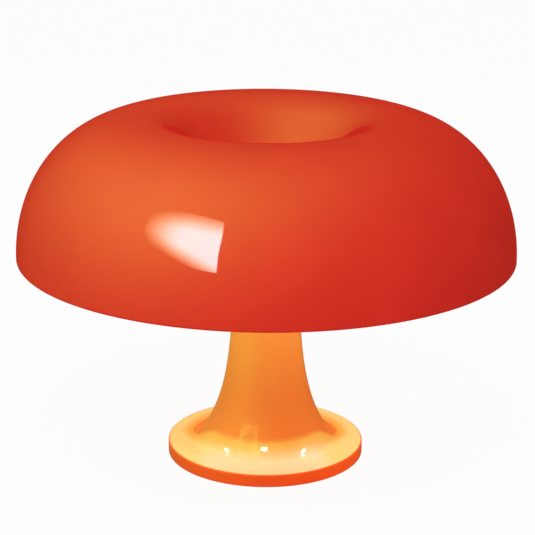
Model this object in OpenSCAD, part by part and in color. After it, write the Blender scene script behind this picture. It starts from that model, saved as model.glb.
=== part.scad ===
// Mushroom table lamp: a moulded foot and stem, a hub with four bulbs and a lift-off domed shade.
// Millimetres, +Z up, origin on the table at the middle of the foot, front of the lamp towards -Y.

/* [Shade] */
// Outer radius of the shade at its widest
shade_r = 160; // [152:1:170]
// Height of the shade from its rim to its crest
shade_h = 89.2; // [84:0.2:96]
// Radius of the ring where the shade is highest
crest_r = 80; // [76:1:86]
// Wall thickness of the shade
shade_wall = 3; // [2.4:0.1:3.6]
// Fullness of the dome across its width, where 2 is an ellipse
dome_width_power = 2.19; // [2:0.01:2.4]
// Fullness of the dome up its height, where 2 is an ellipse
dome_height_power = 2.01; // [1.9:0.01:2.2]
// Depth of the dimple below the crest
dimple_depth = 34; // [30:0.5:38]
// Radius of the lip that rolls over into the dimple
lip_r = 38; // [32:1:42]
// Slope of the dimple's wall in degrees
dimple_slope = 42; // [38:1:46]
// Radius of the curve where the dimple's wall meets its floor
dimple_fillet = 22; // [16:1:26]
// Depth of the socket moulded under the dimple
socket_h = 10; // [8:0.5:14]
// Inner radius of the socket
socket_r = 17; // [16.2:0.1:18]
// Wall thickness of the socket
socket_wall = 3; // [2:0.2:3.4]

/* [Foot and stem] */
// Radius of the foot
foot_r = 64.3; // [60:0.1:70]
// Height of the foot's flat top above the table
foot_top = 8.7; // [8.5:0.1:10]
// Rounding of the foot's top edge
foot_edge_r = 0.8; // [0.4:0.1:1.2]
// Gap between the moulded foot's lower edge and the table
foot_gap = 0.6; // [0.4:0.1:0.7]
// Height of the stem's top above the table
stem_h = 150; // [130:1:165]
// Radius that the stem tapers towards at its top
stem_r = 20.7; // [19.5:0.1:22]
// How far the stem's flare stands out at the foot's top
flare_add = 25; // [22:0.1:28]
// Height over which the flare falls to a third
flare_fall = 31.5; // [27:0.1:36]
// Radius of the fillet where the stem meets the foot
foot_fillet = 6; // [4:0.5:8]
// Wall thickness of the foot and stem
stem_wall = 2.6; // [2.2:0.1:3]
// Thickness of the stem's closed top
stem_top_t = 3; // [2.4:0.1:4]
// Number of ribs inside the flare
rib_count = 6; // [4:1:8]
// Thickness of a rib
rib_t = 2; // [1.4:0.1:2.6]
// Height of a rib
rib_h = 26; // [18:1:34]
// Distance of a rib's inner end from the pocket round the lower nut
rib_inset = 2; // [1:0.5:4]

/* [Underside] */
// Thickness of the rubber foot ring
ring_t = 0.8; // [0.8:0.1:1]
// Width of the rubber foot ring
ring_w = 5.5; // [4:0.5:6]
// Distance of the rubber ring from the plate's edge
ring_inset = 1.3; // [0.8:0.1:2]
// Thickness of the base plate
plate_t = 1.2; // [1:0.1:1.3]
// Gap between the plate's screw heads and the rubber foot ring
plate_screw_gap = 1.8; // [1:0.1:3]
// Number of screws in the base plate
plate_screws_n = 3; // [3:1:5]
// Outer radius of the ballast
ballast_r = 40; // [36:0.5:41]
// Height of the ballast's top above the table
ballast_top = 16; // [15:0.5:17]
// Gap between the ballast and the base plate
ballast_gap = 0.6; // [0.4:0.1:1]
// Width of the bevel round the ballast's top
ballast_bevel_w = 6; // [4:0.5:8]
// Height of the bevel round the ballast's top
ballast_bevel_h = 7; // [5:0.5:9]
// Height of the web that the tie tube's nut pulls up
ballast_web = 3; // [2.5:0.1:4]
// Radius of the pocket round the lower nut
nut_pocket_r = 14; // [12.5:0.5:16]
// Height of the cord's centre above the table
cord_z = 4.3; // [4.2:0.05:4.4]
// Bore radius of the cord gland
gland_bore_r = 2.7; // [2.4:0.1:2.8]
// Wall thickness of the cord gland
gland_wall = 0.7; // [0.5:0.1:0.8]
// Length of the cord gland inside the foot's edge
gland_in = 5.8; // [4.5:0.1:7]
// Thickness of the cord gland's outer flange
gland_flange_t = 1.5; // [1:0.1:2]
// How far the cord gland's flange stands out round it
gland_flange_w = 0.4; // [0.3:0.05:0.5]

/* [Tie tube] */
// Outer radius of the threaded tie tube
tube_r = 5; // [4.8:0.1:5.2]
// Bore radius of the tie tube
tube_bore_r = 3.6; // [3:0.1:3.9]
// Height of the tie tube's lower end above the table
tube_low = 7.4; // [7.2:0.1:7.8]
// Width across the flats of the tie tube's nuts
nut_af = 14; // [13.5:0.5:15]
// Thickness of a tie tube nut
nut_t = 4; // [3:0.1:4]
// Radius of a tie tube washer
washer_r = 9.5; // [9:0.5:10.5]
// Thickness of a tie tube washer
washer_t = 1.2; // [1:0.1:1.5]
// How far the tie tube stands out of its upper nut
tube_proud = 1.3; // [0.6:0.1:2]

/* [Hub] */
// Outer radius of the hub
hub_r = 26; // [25.5:0.1:28]
// Height of the hub
hub_h = 26; // [26:0.5:30]
// Wall thickness of the hub
hub_wall = 3; // [2.4:0.1:3.2]
// Height of the bulbs' axes above the stem's top
bulb_axis_h = 18; // [17:0.1:18.1]
// Radius of the flat pad behind each lampholder
pad_r = 7.6; // [7:0.1:7.8]
// How far a pad stands proud of the hub
pad_proud = 1; // [0.8:0.1:1.5]
// How far a pad thickens the hub's wall inside
pad_inside = 2; // [1.5:0.1:2.2]
// Radius of the curve inside the hub's floor
hub_fillet = 3; // [2:0.5:4]
// Distance of the cover screws from the lamp's axis
cover_screw_at = 21.3; // [21:0.1:21.6]
// Thickness of the crown's flange
crown_t = 3; // [2.8:0.1:4]
// Clearance between the crown's pilot and the socket
pilot_gap = 0.3; // [0.2:0.05:0.5]
// Wall thickness of the crown's pilot
pilot_wall = 3; // [2:0.1:3.5]
// Clearance between the pilot's top and the dimple's floor
pilot_top_gap = 1.5; // [0.8:0.1:2]
// Bevel on the crown's edges
crown_edge = 0.5; // [0.3:0.1:0.8]
// Bevel that guides the socket onto the pilot
pilot_edge = 1; // [0.6:0.1:1.4]
// Length of the terminal block
block_l = 20; // [18:0.5:21]
// Width of the terminal block
block_w = 16; // [15:0.5:17]
// Height of the terminal block
block_h = 10; // [8:0.5:10]
// Distance of the clamp screws from the lamp's axis
clamp_at = 6.4; // [6:0.1:6.8]
// Radius of a clamp screw
clamp_r = 1.2; // [1:0.1:1.3]
// Radius of a clamp screw's head
clamp_head_r = 1.7; // [1.5:0.1:1.9]
// Height of a clamp screw's head
clamp_head_h = 0.8; // [0.6:0.1:1]
// Length of a clamp screw under its head
clamp_l = 4; // [3:0.5:5]

/* [Lampholders] */
// Outer radius of a lampholder
holder_r = 14; // [13.5:0.1:14.5]
// Length of a lampholder's cap
cap_l = 16; // [15.5:0.1:18]
// Length of a lampholder's skirt
skirt_l = 26; // [24:0.5:28]
// Wall thickness of the cap and the skirt
holder_wall = 1.8; // [1.4:0.1:2.2]
// Radius of the cap's neck
neck_r = 7.4; // [7:0.1:7.6]
// Length of the cap's neck
neck_l = 4; // [3:0.5:5]
// How far the nipple reaches into the cap
nipple_out = 8; // [7:0.5:9]
// Thickness of a nipple's nut
nipple_nut_t = 3; // [2.5:0.1:3.2]
// Length of the smooth ring round the skirt's root
skirt_ring_l = 8; // [5:0.5:12]
// Depth of the step at the end of the skirt's ring
skirt_step = 0.5; // [0.3:0.1:0.6]
// Radius of the rolled lip at the skirt's mouth
skirt_lip = 0.9; // [0.6:0.1:1.1]
// How far the ceramic core reaches back into the cap
core_in_cap = 2; // [1.5:0.1:2.5]
// Thickness of the ceramic core's floor
core_floor_t = 2.5; // [2:0.1:3]
// Length of the ceramic core's barrel
core_l = 19; // [17:0.5:20]
// Clearance between the ceramic core and the parts round it
core_gap = 0.1; // [0.05:0.05:0.2]
// Inner radius of the metal screw shell
shell_r = 7.15; // [7.1:0.05:7.2]
// Wall thickness of the metal screw shell
shell_wall = 0.35; // [0.3:0.05:0.5]
// Length of the metal screw shell
shell_l = 22; // [20:0.5:23]
// Bore radius of the nipple between the hub and a lampholder
nipple_bore_r = 3.6; // [3.2:0.1:3.9]
// Height that the centre contact stands above the core's floor
contact_h = 2; // [1.6:0.1:2.4]
// Width of a centre contact
contact_w = 3; // [2:0.2:4]
// Thickness of a centre contact
contact_t = 0.4; // [0.3:0.05:0.5]
// Distance of the wire holes in the ceramic core from a bulb's axis
wire_hole_at = 4.4; // [4:0.1:5]
// Depth of the wire holes in the ceramic core
wire_hole_d = 0.8; // [0.6:0.1:1.2]

/* [Bulbs] */
// Length of a bulb from its tip contact to the end of its glass
bulb_l = 76; // [72:0.5:77]
// Radius of a bulb's globe
globe_r = 22.5; // [20:0.5:23]
// Wall thickness of a bulb's glass
glass_wall = 0.9; // [0.7:0.1:1.2]
// Radius of a bulb's screw cap
cap_r = 6.9; // [6.8:0.05:7]
// Length of a bulb's metal cap
cap_shell_l = 19; // [18:0.5:20]
// Wall thickness of a bulb's metal cap
cap_wall = 0.6; // [0.4:0.1:0.8]
// How far the metal cap turns in over the insulator
cap_turn_in = 2.2; // [1.8:0.1:2.6]
// Length of a bulb's tip contact
tip_l = 1.6; // [1.2:0.1:2]
// Radius of a bulb's tip contact
tip_r = 2.2; // [1.8:0.1:2.4]
// Length of a bulb's black insulator
insulator_l = 3; // [2.4:0.1:3.6]

/* [Wiring and screws] */
// Radius of an insulated wire
wire_r = 0.9; // [0.7:0.1:1]
// Distance of the two wires of a pair from their middle line
wire_side = 1.3; // [1.15:0.05:1.5]
// Distance from the lamp's axis at which the wires leave the terminal block
wire_at = 7; // [6.5:0.1:7.5]
// Reach of a wire's bend between the terminal block and a nipple
wire_bend = 8; // [7:0.5:8.5]
// Shank radius of the screws
screw_r = 1.45; // [1.3:0.05:1.5]
// Head radius of the countersunk screws
head_r = 2.7; // [2.5:0.1:2.8]
// Straight edge of a countersunk head
head_edge = 0.3; // [0.2:0.05:0.4]
// Width of the slots in a screw's cross recess
recess_w = 0.6; // [0.5:0.1:0.8]
// Depth of a screw's cross recess
recess_d = 0.7; // [0.5:0.1:0.9]
// Wall of a screw boss round its screw
boss_wall = 1.75; // [1.5:0.05:1.9]
// How far the plate's screws reach into the foot's flat top
plate_screw_bite = 0.9; // [0.6:0.1:1.2]
// Length of a cover screw below the crown
cover_screw_bite = 9; // [7:0.5:12]
// Length of the block's screw below the crown
block_screw_bite = 6; // [4:0.5:8]
// Room left beyond a screw's end
screw_room = 0.3; // [0.2:0.1:0.6]
// Clearance round a fastener in its hole
fastener_gap = 0.1; // [0.05:0.05:0.2]
// Clearance between a cover and the part that it fits in
cover_gap = 0.4; // [0.2:0.1:0.6]

/* [Hidden] */
SIDES = ["front", "right", "back", "left"];
HOLDER_PIECES = ["holder_cap", "holder_skirt", "holder_core", "holder_shell"];
BULB_PIECES = ["bulb_glass", "bulb_cap", "bulb_insulator", "bulb_tip"];
$fn = 96;
// How far a cutter runs past the face that it cuts
cut_over = 1;

// Heights, built up from the table
plate_top = ring_t + plate_t;
ceiling = foot_top - stem_wall;
ballast_low = plate_top + ballast_gap;
web_low = ballast_top - ballast_web;
hub_top = stem_h + hub_h;
crown_top = hub_top + crown_t;
floor_low = crown_top + socket_h;
floor_top = floor_low + shade_wall;
crest_z = floor_top + dimple_depth;
rim_z = crest_z - shade_h;
belt_z = rim_z + shade_wall/2;
bulb_z = stem_h + bulb_axis_h;

// Distances along a bulb's axis, out from the lamp's axis
pad_face = hub_r + pad_proud;
skirt_start = pad_face + cap_l;
holder_mouth = skirt_start + skirt_l;
core_start = skirt_start - core_in_cap;
core_floor = core_start + core_floor_t;
bulb_seat = core_floor + contact_h;
glass_end = bulb_seat + bulb_l;
globe_at = glass_end - globe_r;
cap_start = bulb_seat + tip_l + insulator_l;
cap_end = cap_start + cap_shell_l;
pad_inner = hub_r - hub_wall - pad_inside;
nipple_start = pad_inner - nipple_nut_t - 1;
nipple_end = pad_face + nipple_out;

core_r = holder_r - holder_wall - core_gap;
shell_outer_r = shell_r + shell_wall;
hole_r = tube_r + fastener_gap;
plate_r = foot_r - stem_wall - cover_gap;
ring_r = plate_r - ring_inset;
plate_screw_at = ring_r - ring_w - plate_screw_gap - head_r;
gland_r = gland_bore_r + gland_wall;
channel_r = gland_bore_r + screw_room;
pilot_r = socket_r - pilot_gap;

dome_steps = 30;
arc_steps = 10;
small_arc_steps = 5;
horn_steps = 26;
horn_crowding = 1.7;
rib_steps = 6;
glass_steps = 16;
neck_steps = 8;
wire_steps = 8;

function side_angle(i) = -90 + 90*i;

// Points on an arc about a centre, from one angle to another
function arc(centre, r, from, to, n) =
    [for (i = [0 : n]) centre + r*[cos(from + (to - from)*i/n), sin(from + (to - from)*i/n)]];

// The dome's outer quarter, and its outward direction, at t degrees up from the belt
dome_h = crest_z - belt_z;
function dome_point(t) = [
    crest_r + (shade_r - crest_r)*pow(cos(t), 2/dome_width_power),
    belt_z + dome_h*pow(sin(t), 2/dome_height_power)
];
function unit2(v) = v/norm(v);
function dome_normal(t) =
    t <= 0 ? [1, 0] :
    t >= 90 ? [0, 1] :
    unit2([
        dome_h/dome_height_power*pow(sin(t), 2/dome_height_power - 1)*cos(t),
        (shade_r - crest_r)/dome_width_power*pow(cos(t), 2/dome_width_power - 1)*sin(t)
    ]);
function dome_curve(inset) =
    [for (i = [0 : dome_steps]) let (t = 90*i/dome_steps) dome_point(t) - inset*dome_normal(t)];

// The dimple, from the crest down to the edge of its floor
dimple_drop = dimple_depth - (lip_r + dimple_fillet)*(1 - cos(dimple_slope));
dimple_floor_r = crest_r - (lip_r + dimple_fillet)*sin(dimple_slope) - dimple_drop/tan(dimple_slope);
function dimple_curve(inset) = concat(
    arc([crest_r, crest_z - lip_r], lip_r - inset, 90, 90 + dimple_slope, arc_steps),
    arc([dimple_floor_r, floor_top + dimple_fillet], dimple_fillet + inset, dimple_slope - 90, -90, arc_steps)
);
rim_curve = arc([shade_r - shade_wall/2, belt_z], shade_wall/2, 180, 360, arc_steps);

function reversed(list) = [for (i = [len(list) - 1 : -1 : 0]) list[i]];
function tail(list) = [for (i = [1 : len(list) - 1]) list[i]];

// The stem's horn: its radius and the lean of its wall at a height above the foot's top
function horn_r(h) = stem_r + flare_add*exp(-h/flare_fall);
function horn_lean(h) = atan(flare_add/flare_fall*exp(-h/flare_fall));
function fillet_height(h, n) = n == 0 ? h : fillet_height(foot_fillet*(1 - sin(horn_lean(h))), n - 1);
horn_start = fillet_height(foot_fillet/2, 12);
fillet_lean = horn_lean(horn_start);
fillet_centre = [horn_r(horn_start) + foot_fillet*cos(fillet_lean), foot_top + foot_fillet];
function horn_curve(inset, end) = concat(
    arc(fillet_centre, foot_fillet + inset, 270, 180 + fillet_lean, arc_steps),
    tail([for (i = [0 : horn_steps])
        let (h = horn_start + (end - horn_start)*pow(i/horn_steps, horn_crowding), lean = horn_lean(h))
        [horn_r(h) - inset*cos(lean), foot_top + h - inset*sin(lean)]])
);

// A closed tube of one radius along a list of points
function unit3(v) = v/norm(v);
function heading(points, i) =
    i == 0 ? unit3(points[1] - points[0]) :
    i == len(points) - 1 ? unit3(points[i] - points[i - 1]) :
    unit3(unit3(points[i + 1] - points[i]) + unit3(points[i] - points[i - 1]));
module wire(points, r, across) {
    sides = 8;
    last = len(points) - 1;
    rings = [for (i = [0 : last])
        let (up = unit3(cross(heading(points, i), across)))
        for (k = [0 : sides - 1])
            points[i] + r*(cos(360*k/sides)*across + sin(360*k/sides)*up)];
    walls = [for (i = [0 : last - 1]) for (k = [0 : sides - 1])
        let (a = i*sides + k, b = i*sides + (k + 1)%sides)
        each [[a, b, a + sides], [b, b + sides, a + sides]]];
    start_cap = [for (k = [1 : sides - 2]) [0, k + 1, k]];
    end_cap = [for (k = [1 : sides - 2]) [last*sides, last*sides + k, last*sides + k + 1]];
    polyhedron(rings, concat(walls, start_cap, end_cap));
}

// Places a piece drawn along +Z on the axis of one bulb, outwards
module on_side(i) {
    translate([0, 0, bulb_z]) rotate([0, 0, side_angle(i)]) rotate([0, 90, 0]) children();
}

// A tube along +Z between two heights
module sleeve(outer, inner, low, high) {
    rotate_extrude() translate([inner, low]) square([outer - inner, high - low]);
}

// A countersunk screw with its head's face at z = 0 and its shank down along -Z
head_l = head_edge + head_r - screw_r;
module screw(length) {
    difference() {
        rotate_extrude() polygon([
            [0, 0], [head_r, 0], [head_r, -head_edge], [screw_r, -head_l], [screw_r, -length], [0, -length]
        ]);
        for (turn = [0, 90]) rotate([0, 0, turn]) translate([-head_r, -recess_w/2, -recess_d])
            cube([2*head_r, recess_w, recess_d + cut_over]);
    }
}
module screw_hole(length) {
    wide = head_r + fastener_gap;
    narrow = screw_r + fastener_gap;
    rotate_extrude() polygon([
        [0, cut_over], [wide, cut_over], [wide, -head_edge], [narrow, -head_l], [narrow, -length], [0, -length]
    ]);
}

module at_plate_screws() {
    for (i = [0 : plate_screws_n - 1])
        rotate([0, 0, 30 + 360*i/plate_screws_n]) translate([plate_screw_at, 0, ring_t])
            mirror([0, 0, 1]) children();
}
module at_cover_screws() {
    for (i = [0 : 3]) rotate([0, 0, 45 + 90*i]) translate([cover_screw_at, 0, crown_top]) children();
}
module at_clamp_screws() {
    for (i = [0 : 3]) rotate([0, 0, 45 + 90*i]) translate([clamp_at, 0, hub_top - block_h]) children();
}
plate_screw_l = ceiling + plate_screw_bite - ring_t;
cover_screw_l = crown_t + cover_screw_bite;
block_screw_l = crown_t + block_screw_bite;

// The shade: dome, lip, dimple and the socket under the dimple, in one moulding
module shade() {
    outer = concat(dome_curve(0), tail(dimple_curve(0)), [[0, floor_top]]);
    inner = concat(dome_curve(shade_wall), tail(dimple_curve(shade_wall)), [[0, floor_low]]);
    color([0.84, 0.2, 0.12]) rotate_extrude() union() {
        polygon(concat(rim_curve, tail(outer), reversed(tail(inner))));
        translate([socket_r, crown_top]) square([socket_wall, socket_h + shade_wall/2]);
    }
}

// The foot and stem: one hollow moulding with a closed top, ribs and screw bosses
module stem_body() {
    top = stem_h - foot_top;
    outer = concat(
        [[foot_r, foot_gap]],
        arc([foot_r - foot_edge_r, foot_top - foot_edge_r], foot_edge_r, 0, 90, small_arc_steps),
        horn_curve(0, top)
    );
    inner_end = top - stem_top_t;
    inner = concat(
        [[foot_r - stem_wall, foot_gap], [foot_r - stem_wall, ceiling]],
        horn_curve(stem_wall, inner_end)
    );
    inner_top_r = inner[len(inner) - 1][0];
    color([0.93, 0.36, 0.1]) difference() {
        union() {
            rotate_extrude() polygon(concat(
                outer, [[hole_r, stem_h], [hole_r, stem_h - stem_top_t], [inner_top_r, stem_h - stem_top_t]],
                reversed(inner)
            ));
            for (i = [0 : rib_count - 1]) rotate([0, 0, 360*i/rib_count]) rib();
            at_plate_screws() translate([0, 0, -plate_t]) mirror([0, 0, 1])
                cylinder(r = screw_r + boss_wall, h = ceiling + stem_wall/2 - plate_top);
        }
        at_plate_screws() screw_hole(plate_screw_l + screw_room);
        translate([0, 0, cord_z]) rotate([-90, 0, 0]) {
            translate([0, 0, ballast_r]) cylinder(r = channel_r, h = foot_r - ballast_r - stem_wall/2);
            translate([0, 0, foot_r - gland_in]) cylinder(r = gland_r + fastener_gap, h = gland_in + cut_over);
        }
        translate([-gland_r - fastener_gap, foot_r - gland_in, 0])
            cube([2*(gland_r + fastener_gap), gland_in + cut_over, cord_z]);
    }
}
module rib() {
    low = ballast_top - foot_top;
    wall_line = [for (i = [0 : rib_steps])
        let (h = low + rib_h*i/rib_steps) [horn_r(h) - stem_wall/2/cos(horn_lean(h)), foot_top + h]];
    rotate([90, 0, 0]) translate([0, 0, -rib_t/2]) linear_extrude(rib_t)
        polygon(concat([[nut_pocket_r + rib_inset, ballast_top]], wall_line));
}

module base_plate() {
    color([0.3, 0.3, 0.31]) difference() {
        translate([0, 0, ring_t]) cylinder(r = plate_r, h = plate_t);
        at_plate_screws() screw_hole(plate_t + head_l);
        translate([0, ballast_r, cord_z]) rotate([-90, 0, 0]) cylinder(r = channel_r, h = foot_r);
        translate([-gland_r - cover_gap, foot_r - gland_in - cover_gap, 0])
            cube([2*(gland_r + cover_gap), gland_in + cover_gap + cut_over, cord_z]);
    }
}

module foot_ring() {
    color([0.12, 0.12, 0.12]) sleeve(ring_r, ring_r - ring_w, 0, ring_t);
}

module plate_screws() {
    color([0.72, 0.72, 0.7]) at_plate_screws() screw(plate_screw_l);
}

// The ballast: a cast ring with a pocket for the nut and a groove for the cord
module ballast_ring() {
    edge = 1;
    color([0.28, 0.28, 0.3]) difference() {
        rotate_extrude() polygon([
            [hole_r, ballast_top], [hole_r, web_low], [nut_pocket_r, web_low], [nut_pocket_r, ballast_low],
            [ballast_r - edge, ballast_low], [ballast_r, ballast_low + edge],
            [ballast_r, ballast_top - ballast_bevel_h], [ballast_r - ballast_bevel_w, ballast_top]
        ]);
        translate([0, 0, cord_z]) rotate([-90, 0, 0]) cylinder(r = channel_r, h = ballast_r + cut_over);
        translate([-channel_r, 0, 0]) cube([2*channel_r, ballast_r + cut_over, cord_z]);
    }
}

module cord_gland() {
    flange_r = gland_r + gland_flange_w;
    flange_end = foot_r + gland_flange_t;
    color([0.1, 0.1, 0.1]) translate([0, 0, cord_z]) rotate([-90, 0, 0]) rotate_extrude() polygon([
        [gland_bore_r, foot_r - gland_in], [gland_r, foot_r - gland_in], [gland_r, foot_r],
        [flange_r, foot_r], [flange_r, flange_end - gland_flange_w], [gland_r, flange_end],
        [gland_bore_r, flange_end]
    ]);
}

// The tie tube and the nuts and washers that clamp ballast, stem and hub together
upper_washer_z = stem_h + hub_wall;
tube_top = upper_washer_z + washer_t + nut_t + tube_proud;
module tie_tube() {
    color([0.75, 0.73, 0.68]) sleeve(tube_r, tube_bore_r, tube_low, tube_top);
}
module nut(low, thickness) {
    translate([0, 0, low]) difference() {
        rotate([0, 0, 30]) cylinder(r = nut_af/2/cos(30), h = thickness, $fn = 6);
        translate([0, 0, -cut_over]) cylinder(r = tube_r + fastener_gap/2, h = thickness + 2*cut_over);
    }
}
module tie_washer_lower() {
    color([0.75, 0.75, 0.73]) sleeve(washer_r, hole_r, web_low - washer_t, web_low);
}
module tie_nut_lower() {
    color([0.7, 0.7, 0.68]) nut(web_low - washer_t - nut_t, nut_t);
}
module tie_washer_upper() {
    color([0.75, 0.75, 0.73]) sleeve(washer_r, hole_r, upper_washer_z, upper_washer_z + washer_t);
}
module tie_nut_upper() {
    color([0.7, 0.7, 0.68]) nut(upper_washer_z + washer_t, nut_t);
}

// The hub: a round cup with four pads for the lampholders and four bosses for its cover
module lamp_hub() {
    foot = horn_r(stem_h - foot_top);
    inside = hub_r - hub_wall;
    color([0.93, 0.92, 0.88]) difference() {
        union() {
            rotate_extrude() polygon(concat(
                [[hole_r, stem_h], [foot, stem_h]],
                arc([foot, stem_h + hub_r - foot], hub_r - foot, -80, 0, small_arc_steps),
                [[hub_r, hub_top], [inside, hub_top]],
                arc([inside - hub_fillet, stem_h + hub_wall + hub_fillet], hub_fillet, 0, -90, small_arc_steps),
                [[hole_r, stem_h + hub_wall]]
            ));
            for (i = [0 : 3]) on_side(i) translate([0, 0, pad_inner])
                cylinder(r = pad_r, h = pad_face - pad_inner);
            for (i = [0 : 3]) rotate([0, 0, 45 + 90*i]) translate([cover_screw_at, 0, stem_h + hub_wall/2])
                cylinder(r = screw_r + boss_wall, h = hub_h - hub_wall/2);
        }
        for (i = [0 : 3]) on_side(i) translate([0, 0, pad_inner - cut_over])
            cylinder(r = hole_r, h = pad_face - pad_inner + 2*cut_over);
        at_cover_screws() translate([0, 0, -cover_screw_l - screw_room])
            cylinder(r = screw_r + fastener_gap, h = cover_screw_l);
    }
}

// The crown: the hub's cover, with the pilot that the shade's socket drops over
module hub_crown() {
    pilot_top = floor_low - pilot_top_gap;
    color([0.93, 0.92, 0.88]) difference() {
        rotate_extrude() polygon([
            [0, hub_top], [hub_r - crown_edge, hub_top], [hub_r, hub_top + crown_edge],
            [hub_r, crown_top - crown_edge], [hub_r - crown_edge, crown_top], [pilot_r, crown_top],
            [pilot_r, pilot_top - pilot_edge], [pilot_r - pilot_edge, pilot_top],
            [pilot_r - pilot_wall, pilot_top], [pilot_r - pilot_wall, crown_top], [0, crown_top]
        ]);
        at_cover_screws() screw_hole(crown_t + cut_over);
        translate([0, 0, crown_top]) screw_hole(crown_t + cut_over);
    }
}

module crown_screws() {
    color([0.72, 0.72, 0.7]) at_cover_screws() screw(cover_screw_l);
}

module terminal_block() {
    low = hub_top - block_h;
    color([0.85, 0.84, 0.8]) difference() {
        translate([-block_l/2, -block_w/2, low]) cube([block_l, block_w, block_h]);
        translate([0, 0, crown_top - block_screw_l - screw_room])
            cylinder(r = screw_r + fastener_gap, h = block_screw_l);
        at_clamp_screws() translate([0, 0, -cut_over])
            cylinder(r = clamp_r + fastener_gap, h = clamp_l + screw_room + cut_over);
    }
}

// Four clamp screws under the terminal block and the one that hangs it from the crown
module terminal_screws() {
    color([0.72, 0.72, 0.7]) {
        translate([0, 0, crown_top]) screw(block_screw_l);
        at_clamp_screws() {
            translate([0, 0, -clamp_head_h]) cylinder(r = clamp_head_r, h = clamp_head_h);
            cylinder(r = clamp_r, h = clamp_l);
        }
    }
}

module holder_nipples() {
    color([0.8, 0.66, 0.36]) for (i = [0 : 3]) on_side(i)
        sleeve(tube_r, nipple_bore_r, nipple_start, nipple_end);
}

module nipple_nuts() {
    color([0.7, 0.7, 0.68]) for (i = [0 : 3]) on_side(i) nut(pad_inner - nipple_nut_t, nipple_nut_t);
}

// A lampholder's cap: a neck on the nipple that swells to the skirt
module holder_cap(i) {
    rounding = holder_r - neck_r;
    inside = holder_r - holder_wall;
    color([0.9, 0.89, 0.85]) on_side(i) rotate_extrude() polygon(concat(
        [[hole_r, pad_face], [neck_r, pad_face]],
        arc([neck_r, pad_face + neck_l + rounding], rounding, -90, 0, arc_steps),
        [
            [holder_r, skirt_start], [inside, skirt_start], [inside, nipple_end + holder_wall],
            [inside - holder_wall, nipple_end], [hole_r, nipple_end]
        ]
    ));
}

// The skirt: a sleeve with a rolled lip at its mouth
module holder_skirt(i) {
    inside = holder_r - holder_wall;
    barrel = holder_r - skirt_step;
    step_at = skirt_start + skirt_ring_l;
    color([0.9, 0.89, 0.85]) on_side(i) rotate_extrude() polygon(concat(
        [[inside, skirt_start], [holder_r, skirt_start], [holder_r, step_at], [barrel, step_at + skirt_step]],
        arc([barrel - skirt_lip, holder_mouth - skirt_lip], skirt_lip, 0, 90, small_arc_steps),
        [[inside, holder_mouth]]
    ));
}

// The ceramic core: a floor with two wire holes and a barrel round the screw shell
module holder_core(i) {
    edge = 1;
    core_end = core_start + core_l;
    barrel = shell_outer_r + core_gap;
    color([0.95, 0.94, 0.9]) on_side(i) difference() {
        rotate_extrude() polygon([
            [0, core_start], [core_r - edge, core_start], [core_r, core_start + edge],
            [core_r, core_end - edge], [core_r - edge, core_end], [barrel, core_end], [barrel, core_floor],
            [0, core_floor]
        ]);
        for (s = [-1, 1]) translate([0, wire_hole_at*s, core_start - cut_over])
            cylinder(r = wire_r + core_gap + fastener_gap, h = wire_hole_d + cut_over);
    }
}

module holder_shell(i) {
    color([0.85, 0.7, 0.35]) on_side(i) sleeve(shell_outer_r, shell_r, core_floor, core_floor + shell_l);
}

// The spring tongues that touch the bulbs' tips: a flat foot, a rise to the contact and a short tail
module centre_contacts() {
    top = bulb_seat;
    tail_low = core_floor + (contact_h - contact_t)*0.35;
    color([0.85, 0.7, 0.35]) for (i = [0 : 3]) on_side(i) translate([-contact_w/2, 0, 0])
        rotate([90, 0, 90]) linear_extrude(contact_w) polygon([
            [-2*contact_w, core_floor], [-0.7*contact_w, core_floor], [0.35*contact_w, top - contact_t],
            [1.3*contact_w, tail_low], [1.4*contact_w, tail_low + contact_t], [0.35*contact_w, top],
            [-0.2*contact_w, top], [-0.8*contact_w, core_floor + contact_t],
            [-2*contact_w, core_floor + contact_t]
        ]);
}

// A pair of wires runs from the terminal block through each nipple to its lampholder
function bend(a, b, c, d, t) = pow(1 - t, 3)*a + 3*t*pow(1 - t, 2)*b + 3*t*t*(1 - t)*c + pow(t, 3)*d;
function ease(t) = t*t*(3 - 2*t);
module wires(hand) {
    y = hand*wire_side;
    clamp = [wire_at, y, hub_top - block_h];
    leave = clamp - [0, 0, wire_r];
    enter = [nipple_start + 2, y, bulb_z];
    spread_l = core_start - nipple_end;
    spread = wire_hole_at - wire_side;
    route = concat(
        [clamp],
        [for (k = [0 : wire_steps])
            bend(leave, leave - [0, 0, wire_bend], enter - [wire_bend, 0, 0], enter, k/wire_steps)],
        [for (k = [0 : wire_steps/2]) let (t = 2*k/wire_steps)
            [nipple_end + spread_l*t, y + hand*spread*ease(t), bulb_z]],
        [[core_start + wire_hole_d - fastener_gap, hand*wire_hole_at, bulb_z]]
    );
    for (i = [0 : 3]) rotate([0, 0, side_angle(i)]) wire(route, wire_r, [0, 1, 0]);
}
module wires_live() {
    color([0.42, 0.24, 0.13]) wires(1);
}
module wires_neutral() {
    color([0.16, 0.35, 0.7]) wires(-1);
}

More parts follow.
